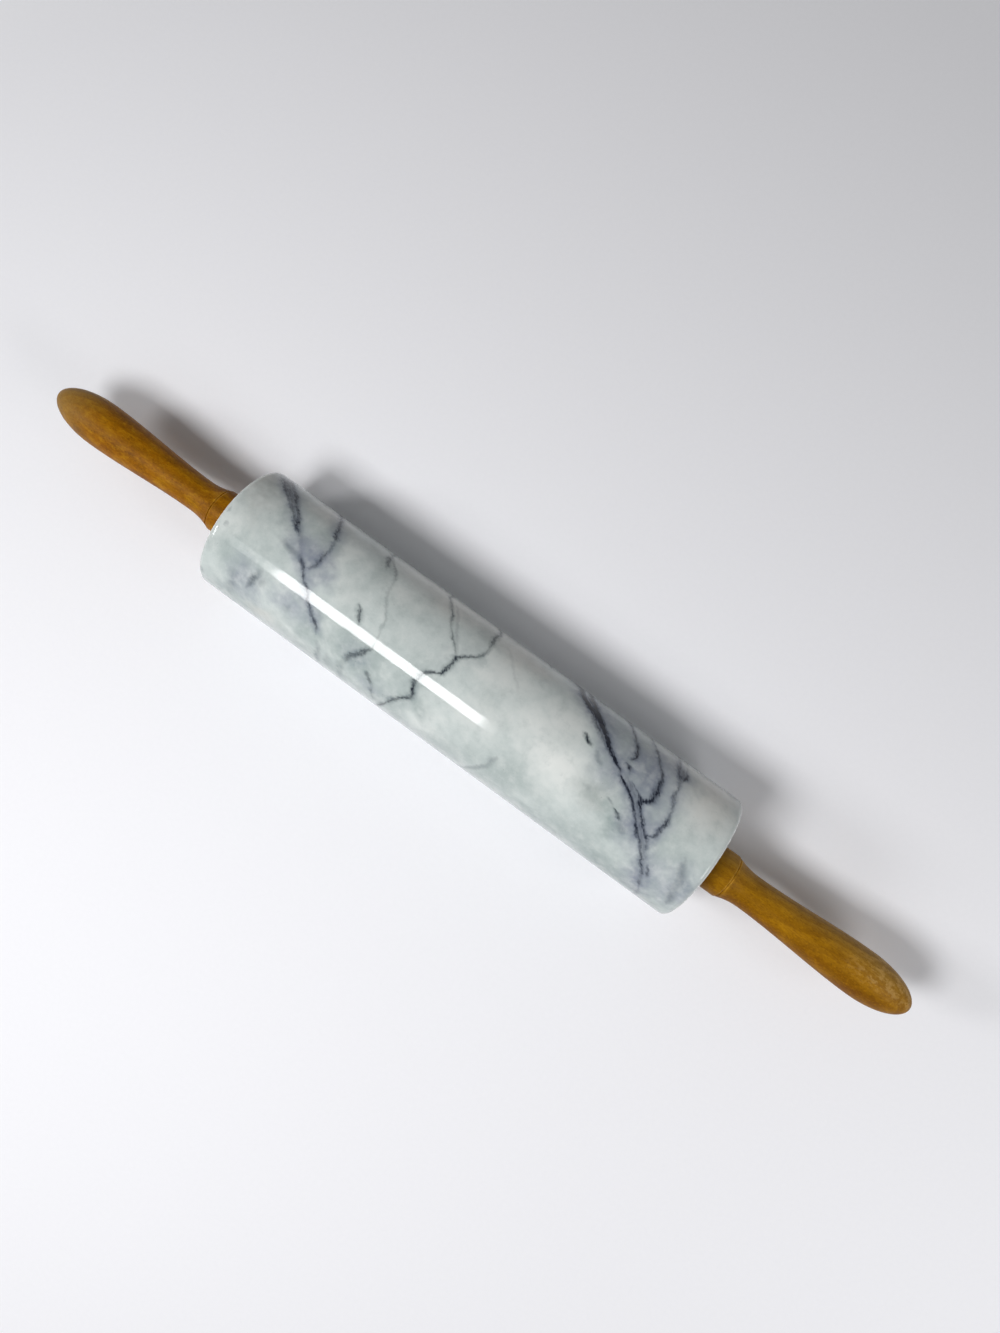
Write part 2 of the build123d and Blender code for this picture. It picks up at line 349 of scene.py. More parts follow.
# Dark lines with a green rim
GREEN_VEINS = [
    # The short dark one left of the middle, with the faint branch that leaves it
    [(-118, -71, 0.0, 0.0), (-110, -66.5, 0.9, 0.36), (-98, -62.8, 1.0, 0.45),
     (-85, -60.7, 1.1, 0.5), (-70, -60.2, 1.3, 0.63), (-62, -59.5, 1.6, 0.81),
     (-53, -57.9, 1.3, 0.59), (-44, -56.4, 0.0, 0.0)],
    [(-70, -59.5, 0.0, 0.0), (-60, -56.8, 1.1, 0.45), (-52, -53, 1.2, 0.5), (-44, -50.9, 1.0, 0.36),
     (-36, -50.2, 0.8, 0.2), (-28, -48.9, 0.9, 0.29), (-18, -45.2, 0.9, 0.32),
     (-9, -42.2, 1.0, 0.34), (0, -41, 0.8, 0.27), (8, -40.4, 0.7, 0.27), (16, -40.6, 1.0, 0.45),
     (22, -42.4, 1.4, 0.78), (28, -43.8, 1.8, 0.79), (34, -46.2, 2.4, 0.74), (39, -46.8, 2.0, 0.58),
     (47, -47.4, 0.0, 0.0)],
    [(-9, -55.4, 0.0, 0.0), (-5, -54.2, 1.2, 0.63), (0, -52.6, 1.4, 0.9), (4.5, -51.2, 1.2, 0.72),
     (8.5, -50, 0.0, 0.0)],
    # The middle pair and the line that they become
    [(-136, -16, 0.0, 0.0), (-126, -23, 0.9, 0.42), (-112, -28.4, 1.0, 0.45), (-98, -30, 0.9, 0.45),
     (-81, -28.8, 1.1, 0.54), (-69, -28, 1.2, 0.63), (-60, -25.6, 1.1, 0.59),
     (-49, -21.9, 1.1, 0.68), (-38, -18.8, 0.9, 0.45), (-29.5, -15, 1.1, 0.63),
     (-25, -12.5, 1.0, 0.54), (-20.5, -10.4, 0.9, 0.41), (-17.5, -9.1, 0.0, 0.0)],
    [(-152, -24, 0.0, 0.0), (-140, -16, 1.1, 0.6), (-128, -12.5, 1.2, 0.65), (-112, -8, 1.1, 0.6),
     (-100, -4.2, 1.0, 0.54), (-80, -3.1, 1.2, 0.72), (-69.5, -1.6, 1.2, 0.77),
     (-61, -1.4, 1.2, 0.77), (-50, -0.9, 1.2, 0.68), (-41, -0.6, 1.0, 0.54), (-31, -1.6, 1.0, 0.68),
     (-26.5, -3.4, 1.2, 0.72), (-22, -6.3, 1.5, 0.77), (-18, -8.8, 1.4, 0.9),
     (-12, -9.5, 1.1, 0.81), (-5, -10, 1.3, 0.9), (-1.4, -10, 1.1, 0.9), (2.7, -12.5, 1.6, 0.81),
     (6.3, -15, 1.3, 0.72), (11, -16.6, 1.1, 0.63), (16.5, -16.9, 1.3, 0.68),
     (21, -16.8, 1.4, 0.85), (29, -15.6, 1.4, 0.9), (34, -16.3, 1.4, 0.9), (39.7, -19.4, 1.5, 0.77),
     (48.7, -21.9, 1.1, 0.72), (57, -23.8, 1.1, 0.63), (65, -25.9, 1.2, 0.72),
     (75, -28.4, 1.0, 0.45), (95, -32, 0.9, 0.36), (115, -38, 0.0, 0.0)],
    [(35, -36.8, 0.0, 0.0), (39.7, -35.9, 1.4, 0.72), (44.5, -34, 1.3, 0.54),
     (49, -32.6, 0.8, 0.32), (53.5, -31.9, 1.2, 0.54), (59, -30.9, 1.1, 0.41),
     (67, -29.6, 0.0, 0.0)],
    # Flecks beside the long one
    [(-32, 52, 0.0, 0.0), (-29.5, 53.3, 1.4, 0.79), (-26.5, 55.2, 1.6, 0.88),
     (-24.5, 56.6, 1.2, 0.75), (-22, 57.7, 0.0, 0.0)],
    [(4.5, 79.6, 0.0, 0.0), (7, 81.3, 1.5, 0.79), (9.6, 82.7, 1.5, 0.79), (12.5, 84.4, 0.0, 0.0)],
]

# Soft grey lines
FAINT_VEINS = [
    [(-16, -100, 0.0, 0.0), (-10, -91.6, 6.5, 0.6), (-5, -85, 0.0, 0.0)],
    [(2, 114.6, 0.0, 0.0), (10, 116.6, 2.0, 0.5), (22, 118.6, 2.2, 0.55), (32, 119.4, 2.0, 0.5),
     (40, 120.8, 2.2, 0.7), (46, 121.4, 1.8, 0.6), (54, 122.4, 0.0, 0.0)],
    [(13, -97.6, 0.0, 0.0), (21, -98.8, 1.6, 0.6), (29, -100, 1.8, 1.0), (35, -100.8, 1.7, 0.75),
     (43, -102.6, 0.0, 0.0)],
    [(20, -95.2, 0.0, 0.0), (26, -95.6, 2.2, 0.35), (34, -97, 0.0, 0.0)],
    [(40, -106.6, 0.0, 0.0), (47, -108.4, 2.2, 0.42), (56, -109.4, 2.4, 0.35),
     (70, -109, 0.0, 0.0)],
    [(27, -80, 0.0, 0.0), (33, -80.6, 2.0, 0.4), (39, -80, 0.0, 0.0)],
    [(50, -125.4, 0.0, 0.0), (57, -125, 1.6, 0.6), (64, -124.6, 0.0, 0.0)],
    [(-1, -122.4, 0.0, 0.0), (3, -122, 1.0, 0.4), (7, -121.6, 0.0, 0.0)],
    [(-12, -125.6, 0.0, 0.0), (-8, -125.2, 0.9, 0.6), (-4, -125, 0.0, 0.0)],
    [(28, -110, 0.0, 0.0), (36, -109.6, 2.6, 0.35), (46, -110.6, 0.0, 0.0)],
    [(40, -62.8, 0.0, 0.0), (48, -61.6, 1.5, 0.5), (57, -60.8, 1.6, 0.6), (66, -60.6, 1.4, 0.5),
     (78, -60, 0.0, 0.0)],
    [(44, -57, 0.0, 0.0), (56, -56, 2.4, 0.35), (68, -55, 0.0, 0.0)],
    [(40, -48.4, 0.0, 0.0), (50, -48.8, 1.8, 0.4), (66, -48.2, 1.6, 0.35), (80, -47.6, 0.0, 0.0)],
    [(28, 29.4, 0.0, 0.0), (34, 28.2, 1.8, 0.55), (43, 27.4, 1.5, 0.5), (52, 24.4, 1.4, 0.55),
     (61, 21.3, 1.2, 0.55), (70, 19.2, 1.1, 0.45), (90, 14, 1.0, 0.4), (112, 8, 0.0, 0.0)],
    [(-62, 3, 0.0, 0.0), (-48, 9.8, 1.2, 0.2), (-37, 13.8, 1.1, 0.2), (-28, 18.8, 1.1, 0.15),
     (-20, 22.5, 0.0, 0.0)],
    [(-68, -24.4, 0.0, 0.0), (-55, -20.6, 1.0, 0.36), (-40, -16.6, 1.1, 0.42),
     (-30, -12.9, 0.9, 0.35), (-20, -9.0, 0.0, 0.0)],
    [(-128, 12, 0.0, 0.0), (-112, 18.6, 1.0, 0.4), (-98, 22.4, 1.1, 0.5), (-84, 24.2, 1.2, 0.7),
     (-71, 25, 0.0, 0.0)],
    [(0.5, 75.5, 0.0, 0.0), (3, 77.3, 1.5, 0.6), (6, 78.8, 0.0, 0.0)],
    [(-26, 60, 0.0, 0.0), (-19, 63.4, 2.0, 0.5), (-14, 66.4, 0.0, 0.0)],
    [(10, 84.5, 0.0, 0.0), (15, 86.6, 2.2, 0.45), (21, 89.4, 0.0, 0.0)],
    [(12, 99.4, 0.0, 0.0), (16.5, 100.2, 1.6, 0.7), (20, 100.8, 0.0, 0.0)],
    [(0, 66, 0.0, 0.0), (4, 67, 2.2, 0.35), (9, 68, 0.0, 0.0)],
    [(118, -24, 0.0, 0.0), (150, -10, 1.8, 0.6), (180, -4, 1.6, 0.7), (215, 6, 1.4, 0.6),
     (240, 10, 0.0, 0.0)],
]

# Broad soft lines
SOFT_BANDS = [
    [(-110, -123, 0.0, 0.0), (-80, -119, 7.0, 0.5), (-60, -113, 8.0, 0.7), (-45, -107, 7.5, 0.65),
     (-30, -98.5, 7.0, 0.6), (-20, -91, 8.0, 0.55), (-10, -86, 8.0, 0.55), (-2, -81, 6.0, 0.4),
     (8, -76, 5.0, 0.35), (22, -70, 6.0, 0.45), (38, -62, 0.0, 0.0)],
    [(-100, -92, 0.0, 0.0), (-75, -90, 5.0, 0.4), (-50, -85, 6.0, 0.5), (-30, -82, 6.5, 0.5),
     (-15, -82, 5.5, 0.45), (-5, -84, 0.0, 0.0)],
    [(10, -96, 0.0, 0.0), (22, -99, 6.0, 0.3), (33, -103, 8.0, 0.45), (46, -107, 8.0, 0.45),
     (60, -111, 6.0, 0.3), (85, -114, 0.0, 0.0)],
    [(-110, 30, 0.0, 0.0), (-85, 40, 9.0, 0.7), (-65, 50, 12.0, 1.0), (-48, 60, 12.0, 1.1),
     (-32, 69, 12.0, 1.1), (-18, 79, 11.5, 1.1), (-5, 88, 11.0, 1.1), (8, 93, 11.0, 1.1),
     (18, 97, 10.0, 0.9), (28, 101, 8.0, 0.75), (42, 106, 8.0, 0.75), (60, 110, 7.5, 0.6),
     (85, 112, 6.0, 0.4), (110, 113, 0.0, 0.0)],
    [(-60, 76, 0.0, 0.0), (-44, 82, 9.0, 0.8), (-30, 86, 11.0, 1.0), (-16, 90, 9.0, 0.9),
     (-4, 95, 0.0, 0.0)],
    [(-60, -8, 0.0, 0.0), (-35, -5, 4.0, 0.2), (-18, -9.5, 6.0, 0.35), (0, -11, 6.0, 0.35),
     (15, -16, 5.0, 0.3), (32, -17, 6.0, 0.45), (45, -22, 6.0, 0.4), (62, -26, 6.0, 0.35),
     (85, -30, 0.0, 0.0)],
    [(95, -101, 0.0, 0.0), (130, -90, 7.0, 0.5), (160, -78, 8.0, 0.6), (200, -60, 6.0, 0.4),
     (230, -48, 0.0, 0.0)],
    [(98, -44, 0.0, 0.0), (130, -29, 8.0, 0.55), (158, -10, 10.0, 0.65), (186, 10, 11.0, 0.7),
     (208, 21, 9.0, 0.6), (236, 26, 0.0, 0.0)],
]

# Patches of another shade: (turn, along, half size in degrees, half size in millimetres, strength).
# A patch whose turn is past PATCH_SEAM has its turn from 0 to 360, so that it can pass SEAM.
PATCH_SEAM = 100
VIOLET_PATCHES = [
    (-17, -86, 24, 13, 1.0), (-4, -78, 18, 11, 0.65), (27, -79, 22, 22, 0.65),
    (36, -104, 26, 15, 0.6), (50, -32, 20, 10, 0.4), (30, -44, 20, 10, 0.35),
    (-38, 86, 44, 24, 0.9), (-56, 60, 34, 20, 0.45), (-24, 72, 28, 20, 0.7), (8, 93, 30, 13, 0.75),
    (42, 107, 36, 17, 0.8), (32, 119, 34, 14, 0.7), (-18, 64, 14, 8, 0.45), (172, 2, 42, 26, 0.6),
    (146, 82, 28, 18, 0.55), (148, -86, 40, 20, 0.5), (-130, 80, 40, 30, 0.4),
]
# Green-grey patches of the stone. The broad ones at turns of about 60 to 70 are painted shade that
# darkens the lower side.
GREEN_PATCHES_AND_LOWER_SHADE = [
    (-40, -88, 24, 16, 0.4), (-56, -6, 26, 12, 0.4), (-66, 66, 34, 20, 0.5),
    (-50, -56, 22, 10, 0.3), (57, 53, 11, 18, 0.5), (58, -56, 28, 15, 0.55),
    (38, -68, 30, 15, 0.65), (33, -42, 38, 26, 0.7), (40, -24, 30, 16, 0.45),
    (15, 112, 30, 16, 0.4), (42, 32, 40, 26, 0.4), (50, 78, 36, 30, 0.5), (10, -101, 26, 18, 0.45),
    (22, -114, 26, 14, 0.35), (6, 68, 20, 13, 0.3), (16, 84, 20, 13, 0.85), (68, -104, 34, 40, 0.4),
    (60, -52, 28, 22, 0.6), (70, -20, 30, 56, 0.35), (34, -12, 18, 12, 0.7), (68, 96, 36, 46, 0.8),
    (48, 114, 34, 18, 0.5), (8, 80, 14, 9, 0.6), (66, -68, 24, 26, 0.6), (26, 84, 16, 12, 0.8),
    (24, 118, 20, 12, 0.7), (68, 62, 24, 26, 0.4), (30, -102, 18, 10, 0.2),
    (-120, -40, 46, 36, 0.35), (150, 0, 46, 46, 0.35), (120, 84, 36, 30, 0.35),
]
GREY_PATCHES = [
    (-66, 92, 40, 26, 0.45), (-40, -118, 44, 16, 0.45), (-60, -112, 30, 22, 0.3),
    (6, 70, 24, 13, 0.35), (-120, -90, 46, 36, 0.4),
]
PALE_PATCHES = [
    (4, 50, 32, 26, 1.0), (-10, 34, 26, 24, 0.7), (-30, 42, 30, 17, 0.75), (10, 14, 26, 20, 0.5),
    (-38, 12, 36, 22, 0.6), (58, -80, 22, 24, 0.3), (44, -6, 34, 14, 0.5), (-8, -64, 16, 12, 0.35),
    (28, -58, 14, 9, 0.3), (-20, -116, 30, 14, 0.35), (-50, 14, 24, 24, 0.25),
    (-120, 20, 46, 36, 0.6), (180, -30, 46, 30, 0.6), (180, 95, 36, 24, 0.5),
    (-34, 110, 30, 18, 0.65), (-32, -44, 18, 15, 0.5), (-44, -76, 34, 10, 0.5),
    (-24, 4, 14, 14, 0.6), (2, -124, 36, 11, 0.5),
]
# Warm patches. Those at turns of about -56 to -68 are a painted warm cast on the shaded top side.
WARM_PATCHES_AND_TOP_CAST = [
    (-68, -20, 36, 64, 0.5), (-66, -92, 34, 18, 0.45), (-64, 14, 28, 24, 0.5),
    (-60, 114, 46, 20, 0.6), (-56, -126, 30, 12, 0.5), (58, -92, 16, 15, 0.45),
]

# The drawn lines' curves hold places up to LINE_REACH from the middle, half widths up to WIDEST and
# strengths up to STRONGEST. Each has an offset that is added first, and the span of the result.
LINE_REACH = 150.0
WIDEST = 14.0
STRONGEST = 1.5
CURVE_SPANS = ((LINE_REACH, 2 * LINE_REACH), (0.0, WIDEST), (0.0, STRONGEST))

# Distances are divided by the half width, so it stays above nothing where a line ends
NARROWEST = 0.01

# How a line fades outward from its middle: none is left at this many half widths, after so many
# millimetres are added to the half width at full strength
BAND_FADE = (1.3, 0.0)
FAINT_FADE = (1.6, 0.2)
WIDE_HALO_FADE = (1.0, 7.0)
HALO_FADE = (1.1, 1.6)
GREEN_HALO_FADE = (1.1, 1.8)
CORE_FADE = (1.3, 0.1)

# Waves that bend the drawn lines and the clouds, from broad to fine: (size, reach)
LINE_WAVES = ((11.0, 0.9), (3.2, 0.55), (1.6, 0.5), (0.7, 0.34))
CLOUD_WAVES = ((18.0, 7.0), (5.0, 3.2))

# The marble's noises: (size, detail, roughness)
CLOUDS = (22.0, 3.0, 0.5)
MOTTLE = (6.0, 4.0, 0.62)
PATCHY = (3.2, 4.0, 0.65)
BROKEN_UP = (2.4, 2.0, 0.6)
GRAIN = (0.8, 2.0, 0.7)

MARBLE_SHADES = {
    "ground": srgb(199, 208, 206),
    "cloudy": srgb(184, 194, 192),
    "pale": srgb(231, 234, 231),
    "warm": srgb(226, 220, 212),
    "green": srgb(135, 151, 150),
    "grey": srgb(142, 141, 136),
    "violet": srgb(134, 141, 158),
    "halo": srgb(88, 98, 114),
    "green_halo": srgb(98, 112, 115),
    "faint_vein": srgb(86, 96, 104),
    "vein": srgb(0, 14, 36),
    "rim_highlight_and_wear": srgb(250, 252, 250),
    "speck": srgb(104, 108, 112),
}

# Where the rims, worn and with a painted highlight, and the honed end faces begin and are full, in
# the same measure as along
RIM_HIGHLIGHT_AND_WEAR = (126.5, 127.8)
END_FACE = (129.8, 130.8)

# Small specks, and the share of their spacing that one fills
SPECK_SPACING = 4.5
SPECK_SIZE = 0.05

# The strands inside a vein: how far along the barrel they go for each degree of turn, their width
# and length, and how far they move a vein's edges in half widths
STRAND_SLANT = 0.5
STRAND_WIDTH = 0.55
STRAND_LENGTH = 7.0
STRAND_ROUGH = 0.42

# The polish: the glassy stone's index, how strongly it mirrors, how much duller the worn rims
# (which also carry a painted highlight) and the honed end faces are, and the relief of its surface
MARBLE_IOR = 1.5
MARBLE_SPECULAR = 0.4
RIM_DULLER = 0.3
END_FACE_DULLER = 0.14
MARBLE_RELIEF = 0.008


def distance(first, second):
    return (first * first + second * second).root()


def barrel_places(graph, place):
    """A place on the barrel as along, turn from -180 to 180, and turn from 0 to 360."""
    x, y, z = graph.split(place)
    along = x + x.sign() * (BARREL_RADIUS - distance(y, z))
    turn = graph.math("ARCTAN2", 0.0 - y, z) * DEGREES_IN_RADIAN
    return along, turn, graph.math("WRAP", turn, 360.0, 0.0)


def strands(graph, places):
    """Fine streaks, about -1 to 1, that run the way the large veins do."""
    along, turn, _ = places
    across = (along - turn * STRAND_SLANT) / STRAND_WIDTH
    lengthwise = (along + turn * STRAND_SLANT) / STRAND_LENGTH
    return graph.noise(graph.vector(across, lengthwise, 0.0), 1.0).ramp(0.2, 0.8, -1.0, 1.0)


def line_curve(graph, turn, points):
    """A line's place, half width and strength as the channels of one colour, read off at turn."""
    first, last = points[0][0], points[-1][0]
    node = graph.node("ShaderNodeRGBCurve")
    for channel, (offset, span) in enumerate(CURVE_SPANS):
        places = [((point[0] - first) / (last - first), (point[channel + 1] + offset) / span)
                  for point in points]
        drawn = node.mapping.curves[channel].points
        drawn[0].location = places[0]
        drawn[1].location = places[-1]
        for place in places[1:-1]:
            drawn.new(*place)
        for point in drawn:
            point.handle_type = "AUTO_CLAMPED"
    node.mapping.update()
    graph.feed(node.inputs["Color"], turn.ramp(first, last))
    return Field(graph, node.outputs[0])


def line_formula():
    """How strongly a drawn line shows: fully in its middle and not at all past outer half widths.
    wider adds millimetres to the half width, and rough adds half widths to the distance."""
    formula = Formula("drawn_line", line="Color", along="Float", outer="Float", wider="Float",
                      rough="Float")
    line, along, outer, wider, rough = formula.given
    parts = formula.node("ShaderNodeSeparateColor")
    formula.feed(parts.inputs[0], line)
    place, half_width, strength = (Field(formula, socket) for socket in parts.outputs)
    strength = strength * STRONGEST
    away = abs(along - place * (2 * LINE_REACH) + LINE_REACH)
    half_width = (half_width * WIDEST + wider * strength).at_least(NARROWEST)
    return formula.gives((away / half_width + rough).fade(outer, 0.0) * strength)


def patch_formula():
    """How strongly a patch shows, from fully in its middle to not at all at its half sizes."""
    formula = Formula("patch", along="Float", turn="Float", middle_turn="Float",
                      middle_along="Float", half_turn="Float", half_along="Float",
                      strength="Float")
    along, turn, middle_turn, middle_along, half_turn, half_along, strength = formula.given
    away = distance((along - middle_along) / half_along, (turn - middle_turn) / half_turn)
    return formula.gives(away.fade(1.0, 0.0) * strength)


LINE = line_formula()
PATCH = patch_formula()


def drawn_lines(graph, places, lines, *fades):
    """How strongly the lines of a table show, once for each fade: (outer, wider) or (outer, wider,
    rough)."""
    along, turn, turn_past_seam = places
    totals = [0.0] * len(fades)
    for points in lines:
        line = line_curve(graph, turn_past_seam if points[-1][0] > SEAM else turn, points)
        totals = [graph.use(LINE, line, along, *fade).at_least(total)
                  for fade, total in zip(fades, totals)]
    return totals


def patches(graph, places, table):
    """How strongly the patches of a table show."""
    along, turn, turn_past_seam = places
    total = 0.0
    for patch in table:
        patch_turn = turn_past_seam if patch[0] > PATCH_SEAM else turn
        total = graph.use(PATCH, along, patch_turn, *patch).at_least(total)
    return total


def marble_ground(graph, place, clouds, mottle, patchy):
    """The stone between the veins, with its clouds, patches, broad bands and grain."""
    shade = MARBLE_SHADES
    places = barrel_places(graph, graph.shaken(place, *CLOUD_WAVES))
    broken = patchy.varied(0.65, 1.2)
    grain = graph.noise(place, *GRAIN)
    bands, = drawn_lines(graph, places, SOFT_BANDS, BAND_FADE)
    return graph.layered(
        shade["ground"],
        (clouds.fade(0.4, 0.62), shade["cloudy"]),
        (patches(graph, places, PALE_PATCHES), shade["pale"]),
        (patches(graph, places, WARM_PATCHES_AND_TOP_CAST), shade["warm"]),
        (patches(graph, places, GREY_PATCHES) * broken, shade["grey"]),
        (patches(graph, places, GREEN_PATCHES_AND_LOWER_SHADE) * broken, shade["green"]),
        (patches(graph, places, VIOLET_PATCHES) * broken, shade["violet"]),
        (bands * patchy.varied(0.2, 0.5), shade["halo"]),
        (mottle.fade(0.45, 0.75, 0.0, 0.3), shade["pale"]),
        (mottle.fade(0.52, 0.2, 0.0, 0.3), shade["green"]),
        (grain.ramp(0.25, 0.75, 0.0, 0.16), shade["pale"]),
    )


def veined(graph, ground, place, patchy):
    """The drawn veins over the ground: the faint ones, the haloes and then the dark cores."""
    shade = MARBLE_SHADES
    places = barrel_places(graph, graph.shaken(place, *LINE_WAVES))
    streaks = strands(graph, places)
    core_fade = (*CORE_FADE, streaks * STRAND_ROUGH)
    faint, = drawn_lines(graph, places, FAINT_VEINS, FAINT_FADE)
    wide_halo, halo, core = drawn_lines(
        graph, places, DARK_VEINS, WIDE_HALO_FADE, HALO_FADE, core_fade)
    green_halo, green_core = drawn_lines(graph, places, GREEN_VEINS, GREEN_HALO_FADE, core_fade)
    core = core.at_least(green_core)
    broken_up = graph.noise(place, *BROKEN_UP).ramp(0.35, 0.6, 0.6, 1.25)
    core = core * core * broken_up * streaks.ramp(-1.0, 1.0, 1.2, 0.7)
    uneven = patchy.varied(0.45, 0.9)
    return graph.layered(
        ground,
        (faint * uneven, shade["faint_vein"]),
        (wide_halo * patchy.varied(0.25, 0.6), shade["violet"]),
        (halo * uneven, shade["halo"]),
        (green_halo * uneven, shade["green_halo"]),
        (core.at_most(0.99), shade["vein"]),
    )


def polished_marble():
    graph = Surface("polished_marble")
    shade = MARBLE_SHADES
    place = graph.position()
    clouds = graph.noise(place, *CLOUDS)
    mottle = graph.noise(place, *MOTTLE)
    patchy = graph.noise(place, *PATCHY)
    colour = marble_ground(graph, place, clouds, mottle, patchy)
    colour = veined(graph, colour, place, patchy)

    specks = graph.cells(place, SPECK_SPACING).fade(SPECK_SIZE, SPECK_SIZE / 2)
    outward = abs(barrel_places(graph, place)[0])
    end_face = outward.fade(*END_FACE)
    # The rims get a near-white band: a painted highlight along the rounded edge, partly their wear.
    rim = outward.fade(*RIM_HIGHLIGHT_AND_WEAR) * (1.0 - end_face) * patchy.fade(0.35, 0.6, 0.3, 1.0)
    colour = graph.layered(
        colour,
        (specks * clouds.fade(0.45, 0.6) * 0.6, shade["speck"]),
        (rim * 0.9, shade["rim_highlight_and_wear"]),
    )
    return graph.finish(
        Base_Color=colour,
        Roughness=mottle.varied(0.06, 0.09) + rim * RIM_DULLER + end_face * END_FACE_DULLER,
        IOR=MARBLE_IOR,
        Specular_IOR_Level=MARBLE_SPECULAR,
        Normal=graph.bump(mottle, MARBLE_RELIEF),
    )


WOOD_SHADES = {
    "left": srgb(152, 96, 0),
    "right": srgb(154, 106, 0),
    "light": srgb(180, 128, 16),
    "dark": srgb(106, 64, 0),
    "red": srgb(126, 66, 0),
    "ring": srgb(98, 56, 0),
    "pore": srgb(66, 38, 2),
    "worn_and_sheen": srgb(146, 120, 66),
    "sheen_side": srgb(178, 144, 76),
    "scuffed_and_sheen": srgb(204, 166, 100),
    "collar_shade": srgb(84, 50, 2),
    "groove": srgb(196, 146, 48),
}

# The growth rings: their middle, beside the handles' axis, their width, how many of them pass for
# each millimetre along the grain, and the waves that bend them: (size, reach)
PITH_Y = 13.0
PITH_Z = -17.0
RING_WIDTH = 3.1
RING_DRIFT = 0.06
RING_WAVES = (8.0, 1.8)

# The wood's patterns are drawn out along the grain: lengths there count for this share only. A
# noise then has (size, detail, roughness).
RING_SHARE = 0.35
BLOTCH_SHARE, BLOTCH = 0.45, (6.5, 3.0, 0.5)
FIGURE_SHARE, FIGURE = 0.6, (2.2, 3.0, 0.6)
FIBRE_SHARE, FIBRE = 0.15, (0.6, 3.0, 0.6)
SPECKLE_SHARE, SPECKLE = 0.7, (0.8, 3.0, 0.7)
PORE_SHARE, PORE_SPACING = 0.25, 0.6

# Stretches of a handle, in millimetres outward from its collar: where a look begins and where it
# is full
COLLAR_SHADE = (7.0, 0.0)
GROOVE_NEAR_EDGE = (9.7, 10.2)
GROOVE_FAR_EDGE = (11.7, 11.1)
SCUFFED_AND_SHEEN_NOSE = (62.0, 84.0)
WORN_AND_SHEEN_NOSE = (70.0, 102.0)

# The right handle has painted shade on its side towards -Y and a painted sheen on the other, by
# SIDE_TINT, and its figure is weaker by CALMER
SIDE_TINT = 0.45
CALMER = 0.4

WOOD_SPECULAR = 0.1
WOOD_RELIEF = 0.05


def along_grain(graph, place, share):
    return graph.stretched(place, share, 1.0, 1.0)


def growth_rings(graph, place):
    """Dark lines where one year's wood ends and the next begins."""
    bent = graph.shaken(along_grain(graph, place, RING_SHARE), RING_WAVES)
    x, y, z = graph.split(bent)
    year = (distance(y - PITH_Y, z - PITH_Z) / RING_WIDTH + x * RING_DRIFT).fraction()
    return year.fade(0.2, 0.85) * year.fade(1.0, 0.88)


